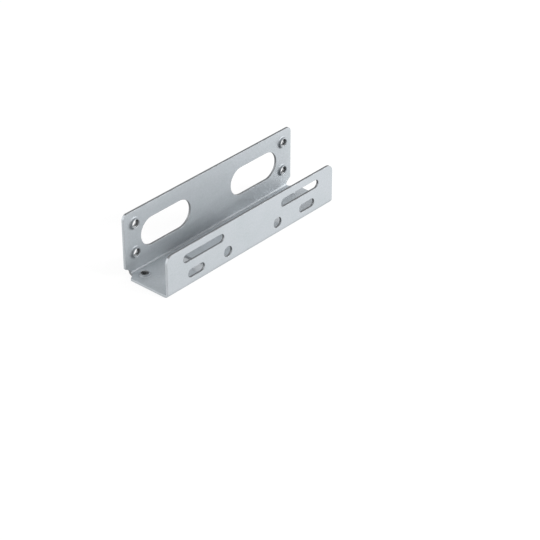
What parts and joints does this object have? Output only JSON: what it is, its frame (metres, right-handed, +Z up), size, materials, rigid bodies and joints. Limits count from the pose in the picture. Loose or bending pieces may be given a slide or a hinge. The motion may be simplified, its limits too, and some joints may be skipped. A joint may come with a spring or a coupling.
{
  "type": "drive bay adapter bracket",
  "caption": "Folded steel channel that adapts a small disk drive to a wider drive bay, with threaded holes, adjusting slots and lightening windows.",
  "frame": {"origin": "on the underside of the base, at mid-length and mid-width of the channel", "axes": "+X along the channel's length, +Y towards the tall wall with the threaded holes, +Z up out of the channel"},
  "size_m": [0.0896, 0.0218, 0.0256],
  "materials": {
    "zinc_plated_steel": "satin zinc plate, cool light grey"
  },
  "bodies": {
    "root": {"bracket": "zinc_plated_steel"}
  },
  "joints": []
}
